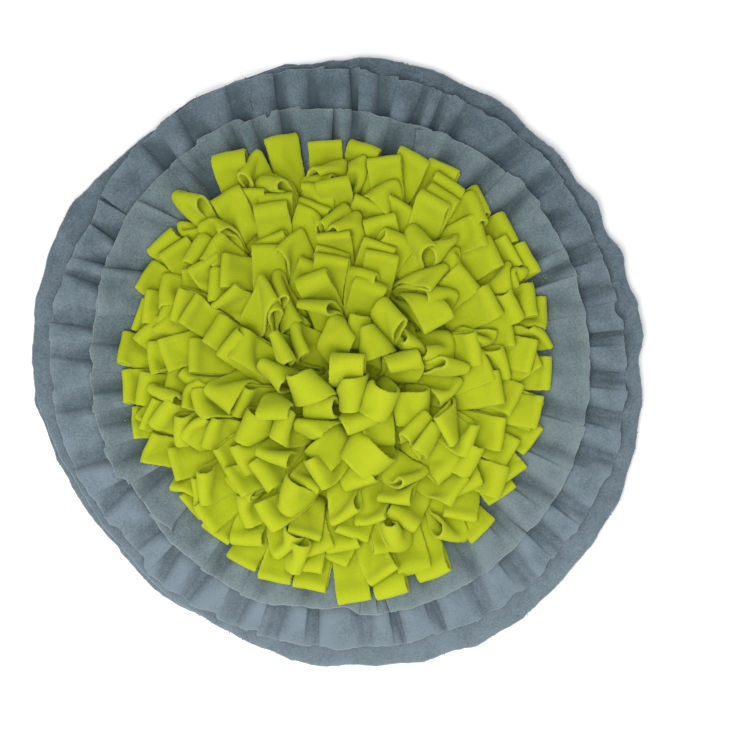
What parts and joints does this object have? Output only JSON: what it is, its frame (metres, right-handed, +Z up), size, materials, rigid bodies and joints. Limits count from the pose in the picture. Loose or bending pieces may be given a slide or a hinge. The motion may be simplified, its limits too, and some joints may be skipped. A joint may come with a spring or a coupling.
{
  "type": "snuffle mat",
  "caption": "Round fleece mat with pleated ruffles, covered with a dense pile of folded lime fleece loops for hiding dry treats.",
  "frame": {"origin": "middle of the mat's outline on the floor, under the lower round", "axes": "+Z up out of the mat through its pile; +Y towards the upper edge of the mat as seen from above, +X to the right of it"},
  "size_m": [0.4596, 0.4592, 0.051],
  "materials": {
    "grey_fleece": "blue-grey brushed fleece, matt, cut edges",
    "grey_ruffle_fleece": "blue-grey brushed fleece, matt, gathered in pleats",
    "lime_fleece": "lime green short-nap fleece, matt, cut edges"
  },
  "bodies": {
    "root": {"base_lower": "grey_fleece", "base_upper": "grey_fleece", "ruffle_outer": "grey_ruffle_fleece", "ruffle_inner": "grey_ruffle_fleece", "loop_ring_01": "lime_fleece", "loop_ring_02": "lime_fleece", "loop_ring_03": "lime_fleece", "loop_ring_04": "lime_fleece", "loop_ring_05": "lime_fleece", "loop_ring_06": "lime_fleece", "loop_ring_07": "lime_fleece", "loop_ring_08": "lime_fleece", "loop_ring_09": "lime_fleece", "loop_ring_10": "lime_fleece", "loop_ring_11": "lime_fleece", "loop_ring_12": "lime_fleece", "loop_ring_13": "lime_fleece"}
  },
  "joints": []
}
